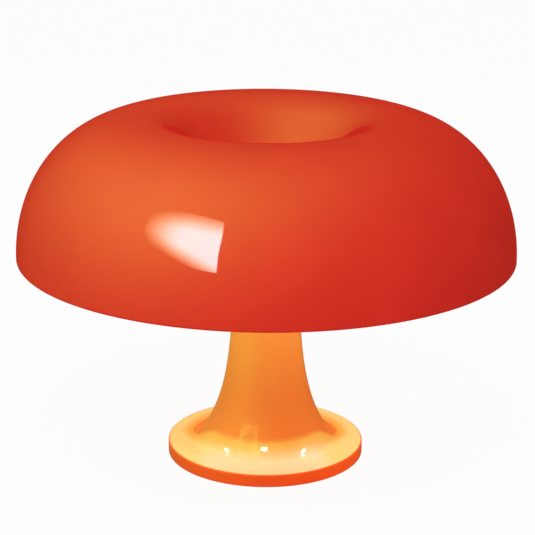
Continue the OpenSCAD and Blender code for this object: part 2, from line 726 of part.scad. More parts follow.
// A golf-ball bulb: glass envelope, metal cap, black insulator and tip contact
neck_glass_r = cap_r - 0.1;
sphere_from = 125;
function neck_curve(inset) = let (
        start = [neck_glass_r - inset, cap_end],
        end = [(globe_r - inset)*sin(sphere_from), globe_at + (globe_r - inset)*cos(sphere_from)],
        run = end[1] - start[1],
        slope_end = -cos(sphere_from)/sin(sphere_from)
    )
    concat([start - [0, 1]], [for (k = [0 : neck_steps]) let (u = k/neck_steps)
        [start[0] + (end[0] - start[0])*ease(u) + slope_end*run*(u*u*u - u*u), start[1] + run*u]]);
function globe_curve(r) =
    [for (k = [0 : glass_steps]) let (a = sphere_from*(1 - k/glass_steps)) [r*sin(a), globe_at + r*cos(a)]];
module bulb_glass(i) {
    outer = concat(neck_curve(0), tail(globe_curve(globe_r)));
    inner = concat(neck_curve(glass_wall), tail(globe_curve(globe_r - glass_wall)));
    color([1, 0.93, 0.78]) on_side(i) rotate_extrude() polygon(concat(outer, reversed(inner)));
}
module bulb_cap(i) {
    inside = cap_r - cap_wall;
    hole = cap_r - cap_turn_in;
    color([0.8, 0.79, 0.76]) on_side(i) rotate_extrude() polygon([
        [hole, cap_start], [inside, cap_start], [cap_r, cap_start + 2*cap_wall], [cap_r, cap_end],
        [neck_glass_r, cap_end], [neck_glass_r, cap_end - 1], [inside, cap_end - 1],
        [inside, cap_start + 1.5*cap_wall], [hole, cap_start + 1.5*cap_wall]
    ]);
}
module bulb_insulator(i) {
    hole = cap_r - cap_turn_in;
    inner_end = cap_start + cap_wall;
    color([0.08, 0.08, 0.09]) on_side(i) rotate_extrude() polygon([
        [0, bulb_seat + tip_l], [tip_r + 0.2, bulb_seat + tip_l], [hole, cap_start - cap_wall],
        [hole, inner_end], [0, inner_end]
    ]);
}
module bulb_tip(i) {
    color([0.78, 0.78, 0.76]) on_side(i) rotate_extrude() polygon(concat(
        [[0, bulb_seat]],
        [for (turn = [15 : 15 : 90]) [tip_r*sin(turn), bulb_seat + tip_l*(1 - cos(turn))]],
        [[0, bulb_seat + tip_l]]
    ));
}

shade();
stem_body();
base_plate();
foot_ring();
plate_screws();
ballast_ring();
cord_gland();
tie_tube();
tie_nut_lower();
tie_washer_lower();
tie_nut_upper();
tie_washer_upper();
lamp_hub();
hub_crown();
crown_screws();
terminal_block();
terminal_screws();
holder_nipples();
nipple_nuts();
centre_contacts();
wires_live();
wires_neutral();
for (i = [0 : 3]) {
    holder_cap(i);
    holder_skirt(i);
    holder_core(i);
    holder_shell(i);
    bulb_glass(i);
    bulb_cap(i);
    bulb_insulator(i);
    bulb_tip(i);
}
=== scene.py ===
import math

import bmesh
import bpy
from mathutils import Matrix, Vector


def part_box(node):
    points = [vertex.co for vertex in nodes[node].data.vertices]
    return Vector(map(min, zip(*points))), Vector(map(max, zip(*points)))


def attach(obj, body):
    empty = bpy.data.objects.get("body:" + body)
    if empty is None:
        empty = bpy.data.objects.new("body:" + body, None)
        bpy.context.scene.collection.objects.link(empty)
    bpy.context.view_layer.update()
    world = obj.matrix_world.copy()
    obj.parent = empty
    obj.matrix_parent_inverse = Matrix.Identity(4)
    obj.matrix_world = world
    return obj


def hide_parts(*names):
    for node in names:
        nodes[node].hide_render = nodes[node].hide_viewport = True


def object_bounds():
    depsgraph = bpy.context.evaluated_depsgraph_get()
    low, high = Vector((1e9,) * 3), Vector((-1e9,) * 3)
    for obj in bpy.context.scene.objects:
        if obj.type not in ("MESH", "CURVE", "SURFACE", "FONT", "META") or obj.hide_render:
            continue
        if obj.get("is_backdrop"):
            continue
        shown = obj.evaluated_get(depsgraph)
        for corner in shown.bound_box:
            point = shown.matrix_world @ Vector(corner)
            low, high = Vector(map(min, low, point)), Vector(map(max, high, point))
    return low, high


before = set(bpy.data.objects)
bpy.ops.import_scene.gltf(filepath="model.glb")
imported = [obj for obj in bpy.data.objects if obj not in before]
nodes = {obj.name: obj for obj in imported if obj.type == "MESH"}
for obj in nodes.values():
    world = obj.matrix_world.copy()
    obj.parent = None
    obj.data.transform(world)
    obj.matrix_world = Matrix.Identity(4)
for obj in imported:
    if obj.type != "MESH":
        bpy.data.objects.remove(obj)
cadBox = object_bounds()
scene = bpy.context.scene
sides = ["front", "right", "back", "left"]
print("frame loaded:", len(nodes), "nodes")

# Camera: fitted to the outlines of the shade, the stem and the foot
photoCamera = {
    "height": 0.4548, "distance": 1.0721, "pitchDown": 17.035, "roll": 0.375,
    "focalPixels": 1733.2, "framePixels": 535, "centrePixel": 266.34, "sensor": 36.0,
}


def makeCamera(v):
    data = bpy.data.cameras.new("photoCamera")
    data.sensor_width = v["sensor"]
    data.lens = v["focalPixels"]/v["framePixels"]*v["sensor"]
    data.shift_x = (v["framePixels"]/2 - v["centrePixel"])/v["framePixels"]
    camera = bpy.data.objects.new("photoCamera", data)
    scene.collection.objects.link(camera)
    place = Matrix.Translation((0, -v["distance"], v["height"]))
    tilt = Matrix.Rotation(math.radians(90 - v["pitchDown"]), 4, "X")
    camera.matrix_world = place @ tilt @ Matrix.Rotation(math.radians(v["roll"]), 4, "Z")
    scene.camera = camera


makeCamera(photoCamera)
print("camera placed")


# Short ways to write node trees
def makeNode(tree, kind, inputs=None, **settings):
    node = tree.nodes.new(kind)
    for key, value in settings.items():
        setattr(node, key, value)
    for key, value in (inputs or {}).items():
        if isinstance(value, bpy.types.NodeSocket):
            tree.links.new(value, node.inputs[key])
        else:
            node.inputs[key].default_value = value
    return node


def maths(tree, operation, first, second=0.0, third=0.0, clamp=False):
    return makeNode(tree, "ShaderNodeMath", {0: first, 1: second, 2: third},
                    operation=operation, use_clamp=clamp).outputs[0]


def stepBetween(tree, value, low, high, toLow=0.0, toHigh=1.0):
    return makeNode(tree, "ShaderNodeMapRange", {
        "Value": value, "From Min": low, "From Max": high, "To Min": toLow, "To Max": toHigh,
    }, interpolation_type="SMOOTHSTEP").outputs["Result"]


def blendColours(tree, factor, first, second):
    node = makeNode(tree, "ShaderNodeMix", data_type="RGBA")
    for socket, value in ((node.inputs["Factor"], factor), (node.inputs[6], first), (node.inputs[7], second)):
        if isinstance(value, bpy.types.NodeSocket):
            tree.links.new(value, socket)
        else:
            socket.default_value = (*value, 1.0)
    return node.outputs[2]


def makeGroup(name, inputs, outputs):
    group = bpy.data.node_groups.new(name, "ShaderNodeTree")
    for label, value in inputs.items():
        socket = group.interface.new_socket(label, in_out="INPUT", socket_type="NodeSocketFloat")
        socket.default_value = value
    for label in outputs:
        group.interface.new_socket(label, in_out="OUTPUT", socket_type="NodeSocketFloat")
    return group, group.nodes.new("NodeGroupInput").outputs, group.nodes.new("NodeGroupOutput").inputs


def objectPlace(tree):
    return tree.nodes.new("ShaderNodeTexCoord").outputs["Object"]


def splitPlace(tree):
    return makeNode(tree, "ShaderNodeSeparateXYZ", {0: objectPlace(tree)}).outputs


# Effects that several materials share
skinEffect = {
    "given": {"Ripple per metre": 14.0, "Grain per metre": 1400.0, "Grain share": 0.04},
    "mottleFiner": 2.3, "mottle": (0.35, 0.65),
}


def makeMouldedSkin(v):
    # the faint sink marks and fine polish of an injection moulding
    group, given, out = makeGroup("Moulded skin", v["given"], ["Height", "Mottle"])
    place = objectPlace(group)
    ripple = makeNode(group, "ShaderNodeTexNoise", {
        "Vector": place, "Scale": given["Ripple per metre"], "Detail": 2.0, "Roughness": 0.4}).outputs["Fac"]
    grain = makeNode(group, "ShaderNodeTexNoise", {
        "Vector": place, "Scale": given["Grain per metre"], "Detail": 3.0, "Roughness": 0.6}).outputs["Fac"]
    height = maths(group, "MULTIPLY_ADD", grain, given["Grain share"], ripple)
    mottle = makeNode(group, "ShaderNodeTexNoise", {
        "Vector": place, "Scale": maths(group, "MULTIPLY", given["Ripple per metre"], v["mottleFiner"]),
        "Detail": 4.0, "Roughness": 0.55}).outputs["Fac"]
    group.links.new(height, out["Height"])
    group.links.new(stepBetween(group, mottle, *v["mottle"]), out["Mottle"])
    return group


filmEffect = {
    "given": {"Smudges per metre": 26.0, "Dust": 0.5},
    "specksPerMetre": 620.0, "facingUp": (0.2, 1.0), "specks": (0.55, 0.72), "smudges": (0.48, 0.75),
}


def makeHandlingFilm(v):
    # dust settles on what faces up, and fingers leave soft smudges
    group, given, out = makeGroup("Handling film", v["given"], ["Film"])
    place = objectPlace(group)
    smudge = makeNode(group, "ShaderNodeTexNoise", {
        "Vector": place, "Scale": given["Smudges per metre"], "Detail": 5.0,
        "Roughness": 0.62, "Distortion": 0.8}).outputs["Fac"]
    speck = makeNode(group, "ShaderNodeTexNoise", {
        "Vector": place, "Scale": v["specksPerMetre"], "Detail": 2.0}).outputs["Fac"]
    facing = makeNode(group, "ShaderNodeSeparateXYZ", {
        0: group.nodes.new("ShaderNodeNewGeometry").outputs["Normal"]}).outputs["Z"]
    settled = maths(group, "MULTIPLY", stepBetween(group, facing, *v["facingUp"]), given["Dust"])
    specks = maths(group, "MULTIPLY", stepBetween(group, speck, *v["specks"]), settled)
    film = maths(group, "ADD", stepBetween(group, smudge, *v["smudges"]), specks, clamp=True)
    group.links.new(film, out["Film"])
    return group


marksEffect = {
    "given": {"Marks per metre": 2600.0, "Scatter": 0.6}, "patchesPerMetre": 190.0, "streaks": (0.35, 0.68),
}


def makeToolMarks(v):
    # the fine scratches and duller patches of turned and plated metal
    group, given, out = makeGroup("Tool marks", v["given"], ["Height", "Streak"])
    place = objectPlace(group)
    marks = makeNode(group, "ShaderNodeTexNoise", {
        "Vector": place, "Scale": given["Marks per metre"], "Detail": 2.0,
        "Distortion": given["Scatter"]}).outputs["Fac"]
    patch = makeNode(group, "ShaderNodeTexNoise", {
        "Vector": place, "Scale": v["patchesPerMetre"], "Detail": 4.0, "Roughness": 0.65}).outputs["Fac"]
    group.links.new(marks, out["Height"])
    group.links.new(stepBetween(group, patch, *v["streaks"]), out["Streak"])
    return group


pebbleEffect = {
    "given": {"Pebbles per metre": 1500.0, "Roundness": 0.5},
    "broadCoarser": 0.2, "broadShare": 0.8, "pits": (0.5, 0.15),
}


def makePebble(v):
    # the grains of powder paint, raw castings and bisque
    group, given, out = makeGroup("Pebble", v["given"], ["Height", "Pits"])
    place = objectPlace(group)
    cells = makeNode(group, "ShaderNodeTexVoronoi", {
        "Vector": place, "Scale": given["Pebbles per metre"], "Smoothness": given["Roundness"]},
        feature="SMOOTH_F1").outputs["Distance"]
    broad = makeNode(group, "ShaderNodeTexNoise", {
        "Vector": place, "Scale": maths(group, "MULTIPLY", given["Pebbles per metre"], v["broadCoarser"]),
        "Detail": 3.0}).outputs["Fac"]
    group.links.new(maths(group, "MULTIPLY_ADD", broad, v["broadShare"], cells), out["Height"])
    group.links.new(stepBetween(group, cells, *v["pits"]), out["Pits"])
    return group


wearEffect = {
    "given": {"Start": 0.52, "Breakup": 0.5}, "patchesPerMetre": 260.0, "breakupReach": -0.08, "width": 0.06,
}


def makeWornEdge(v):
    # corners where paint or plating has rubbed thin
    group, given, out = makeGroup("Worn edge", v["given"], ["Wear"])
    corner = group.nodes.new("ShaderNodeNewGeometry").outputs["Pointiness"]
    patch = makeNode(group, "ShaderNodeTexNoise", {
        "Vector": objectPlace(group), "Scale": v["patchesPerMetre"], "Detail": 4.0}).outputs["Fac"]
    share = maths(group, "MULTIPLY", given["Breakup"], v["breakupReach"])
    broken = maths(group, "MULTIPLY_ADD", patch, share, corner)
    wear = stepBetween(group, broken, given["Start"], maths(group, "ADD", given["Start"], v["width"]))
    group.links.new(wear, out["Wear"])
    return group


mouldedSkin = makeMouldedSkin(skinEffect)
handlingFilm = makeHandlingFilm(filmEffect)
toolMarks = makeToolMarks(marksEffect)
pebble = makePebble(pebbleEffect)
wornEdge = makeWornEdge(wearEffect)
print("shared effects made")


def useGroup(tree, group, **values):
    node = tree.nodes.new("ShaderNodeGroup")
    node.node_tree = group
    for label, value in values.items():
        node.inputs[label.replace("_", " ")].default_value = value
    return node.outputs


def startMaterial(name, **settings):
    material = bpy.data.materials.new(name)
    material.use_nodes = True
    tree = material.node_tree
    shader = tree.nodes["Principled BSDF"]
    for label, value in settings.items():
        socket = shader.inputs[label.replace("_", " ")]
        socket.default_value = (*value, 1.0) if isinstance(value, tuple) else value
    return material, tree, shader


def addBump(tree, shader, height, strength, distance):
    bump = makeNode(tree, "ShaderNodeBump", {"Height": height, "Strength": strength, "Distance": distance})
    tree.links.new(bump.outputs["Normal"], shader.inputs["Normal"])


# Gloss plastic of the shade's outside
shadeFinish = {
    "red": (0.7, 0.026, 0.0155), "deepRed": (0.67, 0.023, 0.0145), "roughness": (0.36, 0.46),
    "coatRoughness": 0.03, "gloss": 0.0, "ripplesPerMetre": 9.0, "dust": 0.25, "bump": (0.02, 0.002),
}
coatOptics = {"ior": 1.5, "straightOn": 0.04}


def evenCoat(tree, shader, v):
    # the photograph's gloss doesn't grow towards the edges, so the coat thins there
    rise = makeNode(tree, "ShaderNodeFresnel", {"IOR": v["ior"]}).outputs[0]
    tree.links.new(maths(tree, "DIVIDE", v["straightOn"], rise, clamp=True), shader.inputs["Coat Weight"])


def makeShadeOutside(v):
    material, tree, shader = startMaterial(
        "shadeOutside", Specular_IOR_Level=v["gloss"], Coat_Roughness=v["coatRoughness"])
    evenCoat(tree, shader, coatOptics)
    skin = useGroup(tree, mouldedSkin, Ripple_per_metre=v["ripplesPerMetre"])
    film = useGroup(tree, handlingFilm, Dust=v["dust"])["Film"]
    tree.links.new(blendColours(tree, skin["Mottle"], v["red"], v["deepRed"]), shader.inputs["Base Color"])
    tree.links.new(stepBetween(tree, film, 0.0, 1.0, *v["roughness"]), shader.inputs["Roughness"])
    addBump(tree, shader, skin["Height"], *v["bump"])
    return material


# The same plastic seen from below: the bulbs' light on it is painted in as emission, hottest near each bulb
insideFinish = {
    "orange": (0.85, 0.2, 0.03), "glow": (1.0, 0.42, 0.1), "hotGlow": (1.0, 0.62, 0.24), "strength": 0.6,
    "hotFrom": 0.035, "hotTo": 0.1, "ripplesPerMetre": 12.0, "dim": (0.94, 1.0), "roughness": (0.34, 0.46),
    "bump": (0.05, 0.002),
}


def makeShadeInside(v):
    material, tree, shader = startMaterial(
        "shadeInside", Base_Color=v["orange"], Emission_Strength=v["strength"])
    skin = useGroup(tree, mouldedSkin, Ripple_per_metre=v["ripplesPerMetre"])
    low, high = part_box("bulb_glass_right")
    bulbCentre = (high.x - (high.z - low.z)/2, 0.0, (high.z + low.z)/2)
    # the four bulbs lie crosswise, so the place is folded into one eighth of the round
    place = splitPlace(tree)
    farX, farY = maths(tree, "ABSOLUTE", place["X"]), maths(tree, "ABSOLUTE", place["Y"])
    wide, narrow = maths(tree, "MAXIMUM", farX, farY), maths(tree, "MINIMUM", farX, farY)
    folded = makeNode(tree, "ShaderNodeCombineXYZ", {"X": wide, "Y": narrow, "Z": place["Z"]}).outputs[0]
    distance = makeNode(tree, "ShaderNodeVectorMath", {0: folded, 1: bulbCentre},
                        operation="DISTANCE").outputs["Value"]
    hot = stepBetween(tree, distance, v["hotTo"], v["hotFrom"])
    colour = blendColours(tree, hot, v["glow"], v["hotGlow"])
    dim = stepBetween(tree, skin["Mottle"], 0.0, 1.0, *v["dim"])
    shaded = makeNode(tree, "ShaderNodeVectorMath", {0: colour, "Scale": dim}, operation="SCALE").outputs[0]
    tree.links.new(shaded, shader.inputs["Emission Color"])
    tree.links.new(stepBetween(tree, skin["Mottle"], 0.0, 1.0, *v["roughness"]), shader.inputs["Roughness"])
    addBump(tree, shader, skin["Height"], *v["bump"])
    return material


# Gloss plastic of the foot and stem: the foot's edge keeps the plastic's own red, while the flare, neck, ring
# and top are painted light, lighter and yellower where the bulbs shine
stemFinish = {
    "edge": (0.86, 0.084, 0.011), "flare": (0.57, 0.126, 0.0205), "neck": (0.7, 0.222, 0.041),
    "ring": (0.62, 0.3, 0.064), "top": (0.62, 0.495, 0.272), "palePaintedLight": (0.62, 0.515, 0.41),
    "neckHeights": (0.035, 0.1), "ringRadii": (0.0368, 0.0394), "topRadii": (0.0394, 0.048),
    "backShift": 0.012, "backDepths": (-0.022, 0.016),
    "paleRadii": (0.0388, 0.0492), "paleWidths": (0.047, 0.034), "paleDepths": (-0.012, -0.034),
    "edgeInsets": (0.0012, 0.0004), "underHeights": (0.001, 0.0004),
    "mottleRed": (0.7, 0.06, 0.01), "mottleShare": 0.06, "ripplesPerMetre": 20.0, "dust": 0.5,
    "gloss": 0.1, "coatRoughness": 0.06, "roughness": (0.3, 0.4), "bump": (0.02, 0.002),
}


def lengthOf(tree, x, y):
    flat = makeNode(tree, "ShaderNodeCombineXYZ", {"X": x, "Y": y}).outputs[0]
    return makeNode(tree, "ShaderNodeVectorMath", {0: flat}, operation="LENGTH").outputs["Value"]


def makeStemPlastic(v):
    material, tree, shader = startMaterial(
        "stemPlastic", Specular_IOR_Level=v["gloss"], Coat_Roughness=v["coatRoughness"])
    evenCoat(tree, shader, coatOptics)
    skin = useGroup(tree, mouldedSkin, Ripple_per_metre=v["ripplesPerMetre"])
    film = useGroup(tree, handlingFilm, Dust=v["dust"])["Film"]
    place = splitPlace(tree)
    low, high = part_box("stem_body")
    radius = lengthOf(tree, place["X"], place["Y"])
    # painted light: the bulbs' light is painted on the foot closer to the stem at the front than at the back
    shift = stepBetween(tree, place["Y"], *v["backDepths"], 0.0, v["backShift"])
    reach = maths(tree, "SUBTRACT", radius, shift)
    # painted light: the neck under the shade and the ring and top of the foot get lit copies of the plastic's
    # colour
    onLitNeck = stepBetween(tree, place["Z"], *v["neckHeights"])
    onLitRing = stepBetween(tree, reach, *v["ringRadii"])
    onLitTop = stepBetween(tree, reach, *v["topRadii"])
    # painted light: a paler patch on the foot's top at the front
    onPaintedPale = maths(tree, "MULTIPLY", stepBetween(tree, radius, *v["paleRadii"]),
                   stepBetween(tree, maths(tree, "ABSOLUTE", place["X"]), *v["paleWidths"]))
    onPaintedPale = maths(tree, "MULTIPLY", onPaintedPale, stepBetween(tree, place["Y"], *v["paleDepths"]))
    # the edge's colour also covers the foot's narrow underside
    onEdge = maths(tree, "MAXIMUM", stepBetween(tree, radius, *[high.x - inset for inset in v["edgeInsets"]]),
                   stepBetween(tree, place["Z"], *[low.z + height for height in v["underHeights"]]))
    colour = blendColours(tree, onLitNeck, v["flare"], v["neck"])
    colour = blendColours(tree, onLitRing, colour, v["ring"])
    colour = blendColours(tree, onLitTop, colour, v["top"])
    colour = blendColours(tree, onPaintedPale, colour, v["palePaintedLight"])
    colour = blendColours(tree, onEdge, colour, v["edge"])
    mottle = stepBetween(tree, skin["Mottle"], 0.0, 1.0, 0.0, v["mottleShare"])
    tree.links.new(blendColours(tree, mottle, colour, v["mottleRed"]), shader.inputs["Base Color"])
    tree.links.new(stepBetween(tree, film, 0.0, 1.0, *v["roughness"]), shader.inputs["Roughness"])
    addBump(tree, shader, skin["Height"], *v["bump"])
    return material


# Plastics, rubber, paint and castings that share one recipe
plainFinishes = {
    "holderPlastic": {"light": (0.78, 0.76, 0.7), "dark": (0.7, 0.67, 0.6), "roughness": (0.3, 0.48),
                      "effect": "skin", "bump": (0.06, 0.001)},
    "coreCeramic": {"light": (0.84, 0.82, 0.76), "dark": (0.74, 0.71, 0.64), "roughness": (0.55, 0.8),
                    "effect": "pebble", "perMetre": 2400.0, "bump": (0.25, 0.0002)},
    "footRubber": {"light": (0.03, 0.03, 0.03), "dark": (0.018, 0.018, 0.018), "roughness": (0.7, 0.9),
                   "effect": "pebble", "perMetre": 1800.0, "bump": (0.4, 0.0003)},
    "platePaint": {"light": (0.045, 0.045, 0.048), "dark": (0.03, 0.03, 0.033), "roughness": (0.5, 0.65),
                   "effect": "pebble", "perMetre": 1400.0, "bump": (0.5, 0.0004)},
    "ballastIron": {"light": (0.06, 0.06, 0.065), "dark": (0.035, 0.033, 0.032), "roughness": (0.6, 0.85),
                    "effect": "pebble", "perMetre": 700.0, "bump": (0.6, 0.0006)},
    "glandPlastic": {"light": (0.022, 0.022, 0.022), "dark": (0.014, 0.014, 0.014), "roughness": (0.45, 0.6),
                     "effect": "skin", "bump": (0.1, 0.0005)},
    "insulatorGlass": {"light": (0.012, 0.012, 0.014), "dark": (0.008, 0.008, 0.01), "roughness": (0.08, 0.2),
                       "effect": "skin", "bump": (0.1, 0.0005)},
    "brownWire": {"light": (0.12, 0.045, 0.018), "dark": (0.09, 0.032, 0.012), "roughness": (0.35, 0.5),
                  "effect": "skin", "bump": (0.1, 0.0005)},
    "blueWire": {"light": (0.012, 0.07, 0.32), "dark": (0.008, 0.05, 0.24), "roughness": (0.35, 0.5),
                 "effect": "skin", "bump": (0.1, 0.0005)},
}
smallPieces = {"ripplesPerMetre": 60.0, "smudgesPerMetre": 70.0}


def makePlainFinish(name, v):
    material, tree, shader = startMaterial(name)
    if v["effect"] == "pebble":
        effect = useGroup(tree, pebble, Pebbles_per_metre=v["perMetre"])
        mask = effect["Pits"]
    else:
        effect = useGroup(tree, mouldedSkin, Ripple_per_metre=smallPieces["ripplesPerMetre"])
        mask = effect["Mottle"]
    film = useGroup(tree, handlingFilm, Smudges_per_metre=smallPieces["smudgesPerMetre"])["Film"]
    tree.links.new(blendColours(tree, mask, v["light"], v["dark"]), shader.inputs["Base Color"])
    tree.links.new(stepBetween(tree, film, 0.0, 1.0, *v["roughness"]), shader.inputs["Roughness"])
    addBump(tree, shader, effect["Height"], *v["bump"])
    return material


# Bare and plated metals
metalFinishes = {
    "zincSteel": {"light": (0.66, 0.67, 0.68), "dark": (0.5, 0.5, 0.49), "worn": (0.42, 0.4, 0.37),
                  "roughness": (0.26, 0.42)},
    "contactBrass": {"light": (0.78, 0.56, 0.24), "dark": (0.6, 0.4, 0.17), "worn": (0.86, 0.68, 0.36),
                     "roughness": (0.2, 0.38)},
    "capNickel": {"light": (0.66, 0.64, 0.6), "dark": (0.54, 0.52, 0.48), "worn": (0.74, 0.73, 0.7),
                  "roughness": (0.18, 0.34)},
}
metalBump = (0.15, 0.0002)


def makeMetal(name, v):
    material, tree, shader = startMaterial(name, Metallic=1.0)
    marks = useGroup(tree, toolMarks)
    wear = useGroup(tree, wornEdge)["Wear"]
    colour = blendColours(tree, marks["Streak"], v["light"], v["dark"])
    tree.links.new(blendColours(tree, wear, colour, v["worn"]), shader.inputs["Base Color"])
    tree.links.new(stepBetween(tree, marks["Streak"], 0.0, 1.0, *v["roughness"]), shader.inputs["Roughness"])
    addBump(tree, shader, marks["Height"], *metalBump)
    return material


# Lit opal glass, brighter on the globe than at the neck
opalFinish = {
    "glass": (0.3, 0.27, 0.22), "warm": (1.0, 0.55, 0.2), "hot": (1.0, 0.82, 0.52), "strength": 0.85,
    "coat": 0.6, "coatRoughness": 0.04, "roughness": (0.2, 0.34), "bump": (0.05, 0.001),
    "ripplesPerMetre": 45.0, "warmEnd": 0.004, "hotEnd": 0.03,
}


def makeOpalGlass(v):
    material, tree, shader = startMaterial(
        "opalGlass", Base_Color=v["glass"], Coat_Weight=v["coat"], Coat_Roughness=v["coatRoughness"],
        Emission_Strength=v["strength"])
    skin = useGroup(tree, mouldedSkin, Ripple_per_metre=v["ripplesPerMetre"])
    place = splitPlace(tree)
    reach = maths(tree, "MAXIMUM", maths(tree, "ABSOLUTE", place["X"]), maths(tree, "ABSOLUTE", place["Y"]))
    low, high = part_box("bulb_glass_right")
    onGlobe = stepBetween(tree, reach, low.x + v["warmEnd"], high.x - v["hotEnd"])
    tree.links.new(blendColours(tree, onGlobe, v["warm"], v["hot"]), shader.inputs["Emission Color"])
    tree.links.new(stepBetween(tree, skin["Mottle"], 0.0, 1.0, *v["roughness"]), shader.inputs["Roughness"])
    addBump(tree, shader, skin["Height"], *v["bump"])
    return material


stemPlastic = makeStemPlastic(stemFinish)
opalGlass = makeOpalGlass(opalFinish)
plain = {name: makePlainFinish(name, v) for name, v in plainFinishes.items()}
metal = {name: makeMetal(name, v) for name, v in metalFinishes.items()}
shadeOutside = makeShadeOutside(shadeFinish)
shadeInside = makeShadeInside(insideFinish)
print("materials made:", len([stemPlastic, opalGlass, shadeOutside, shadeInside, *plain, *metal]))

# Which CAD pieces get which finish
finishedPieces = [
    (stemPlastic, ["stem_body"]),
    (opalGlass, ["bulb_glass"]),
    (plain["platePaint"], ["base_plate"]),
    (plain["footRubber"], ["foot_ring"]),
    (plain["ballastIron"], ["ballast_ring"]),
    (plain["glandPlastic"], ["cord_gland"]),
    (plain["holderPlastic"], ["lamp_hub", "hub_crown", "terminal_block", "holder_cap", "holder_skirt"]),
    (plain["coreCeramic"], ["holder_core"]),
    (plain["insulatorGlass"], ["bulb_insulator"]),
    (plain["brownWire"], ["wires_live"]),
    (plain["blueWire"], ["wires_neutral"]),
    (metal["zincSteel"], ["plate_screws", "tie_tube", "tie_nut_lower", "tie_washer_lower", "tie_nut_upper",
                          "tie_washer_upper", "crown_screws", "terminal_screws", "nipple_nuts"]),
    (metal["contactBrass"], ["holder_nipples", "centre_contacts", "holder_shell"]),
    (metal["capNickel"], ["bulb_cap", "bulb_tip"]),
]
pieceFinish = {name: finish for finish, names in finishedPieces for name in names}


def finishOf(name):
    for side in sides:
        if name.endswith("_" + side):
            return pieceFinish[name[:-len(side) - 1]]
    return pieceFinish.get(name)


def giveFinish(piece, *materials):
    if piece.data.materials:  # clearing also forgets which face has which finish
        piece.data.materials.clear()
    for material in materials:
        piece.data.materials.append(material)


for name, piece in nodes.items():
    if finishOf(name):
        giveFinish(piece, finishOf(name))
print("finishes given to the CAD pieces")


# Turned shapes
tinyGap, sharpAngle = 1e-7, 35


def arc(centre, radius, fromAngle, toAngle, steps):
    points = []
    for k in range(steps + 1):
        angle = math.radians(fromAngle + (toAngle - fromAngle)*k/steps)
        points.append((centre[0] + radius*math.cos(angle), centre[1] + radius*math.sin(angle)))
    return points


def spinProfile(name, profile, steps, materialOf):
    # spins a closed profile of (radius, height) points round Z; materialOf gives each band's material
    mesh = bpy.data.meshes.new(name)
    shape = bmesh.new()
    rings = []
    for k in range(steps):
        angle = 2*math.pi*k/steps
        rings.append([shape.verts.new((r*math.cos(angle), r*math.sin(angle), z)) for r, z in profile])
    count = len(profile)
    for k in range(steps):
        here, after = rings[k], rings[(k + 1) % steps]
        for i in range(count):
            j = (i + 1) % count
            face = shape.faces.new((here[i], after[i], after[j], here[j]))
            face.smooth = True
            face.material_index = materialOf(i)
    bmesh.ops.remove_doubles(shape, verts=shape.verts, dist=tinyGap)
    bmesh.ops.dissolve_degenerate(shape, edges=shape.edges, dist=tinyGap)
    bmesh.ops.recalc_face_normals(shape, faces=shape.faces)
    shape.to_mesh(mesh)
    shape.free()
    mesh.set_sharp_from_angle(angle=math.radians(sharpAngle))
    piece = bpy.data.objects.new(name, mesh)
    scene.collection.objects.link(piece)
    return piece


# The shade: a dome, a rolled lip, a dimple and the socket below it, in one moulding
shadeShape = {
    "crestR": 0.080, "wall": 0.003, "widthPower": 2.19, "heightPower": 2.01, "dimpleDepth": 0.034,
    "lipR": 0.038, "slope": 42, "fillet": 0.022, "socketR": 0.017, "socketWall": 0.003, "socketDepth": 0.010,
    "domeSteps": 90, "arcSteps": 24, "turns": 320,
}


def shadeProfile(v):
    low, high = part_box("shade")
    crestR, wall, outerR = v["crestR"], v["wall"], high.x
    beltZ, crestZ = low.z + wall/2, high.z
    floorZ = crestZ - v["dimpleDepth"]
    domeH, domeW = crestZ - beltZ, outerR - crestR

    def domeCurve(inset):
        points = []
        for k in range(v["domeSteps"] + 1):
            t = math.pi/2*k/v["domeSteps"]
            c, s = max(math.cos(t), 0.0), math.sin(t)
            r = crestR + domeW*c**(2/v["widthPower"])
            z = beltZ + domeH*s**(2/v["heightPower"])
            if k == 0:
                lean = (1.0, 0.0)
            elif k == v["domeSteps"]:
                lean = (0.0, 1.0)
            else:
                lean = (domeH/v["heightPower"]*s**(2/v["heightPower"] - 1)*c,
                        domeW/v["widthPower"]*c**(2/v["widthPower"] - 1)*s)
            size = math.hypot(*lean)
            points.append((r - inset*lean[0]/size, z - inset*lean[1]/size))
        return points

    slope, bends = v["slope"], v["lipR"] + v["fillet"]
    drop = v["dimpleDepth"] - bends*(1 - math.cos(math.radians(slope)))
    flatR = crestR - bends*math.sin(math.radians(slope)) - drop/math.tan(math.radians(slope))

    def dimpleCurve(inset):
        return arc((crestR, crestZ - v["lipR"]), v["lipR"] - inset, 90, 90 + slope, v["arcSteps"]) + arc(
            (flatR, floorZ + v["fillet"]), v["fillet"] + inset, slope - 90, -90, v["arcSteps"])

    rim = arc((outerR - wall/2, beltZ), wall/2, 180, 360, v["arcSteps"])
    outside = rim + domeCurve(0)[1:] + dimpleCurve(0)[1:] + [(0.0, floorZ)]
    under = dimpleCurve(wall)[1:]
    socketOuter = v["socketR"] + v["socketWall"]
    socketFoot = floorZ - wall - v["socketDepth"]
    inner = [p for p in domeCurve(wall)[1:] + under if p[0] > socketOuter]
    join = min(z for r, z in inner)
    inner += [(socketOuter, join), (socketOuter, socketFoot), (v["socketR"], socketFoot),
              (v["socketR"], floorZ - wall), (0.0, floorZ - wall)]
    return outside, inner[::-1]


def makeShade(v):
    outside, inner = shadeProfile(v)
    lastOutside = len(outside) - 1
    rimSteps = v["arcSteps"]//2
    piece = spinProfile("shadeShell", outside + inner, v["turns"],
                        lambda i: 0 if rimSteps <= i < lastOutside else 1)
    giveFinish(piece, shadeOutside, shadeInside)
    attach(piece, "shade_unit")
    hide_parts("shade")
    return piece


shadeShell = makeShade(shadeShape)
print("shade made")


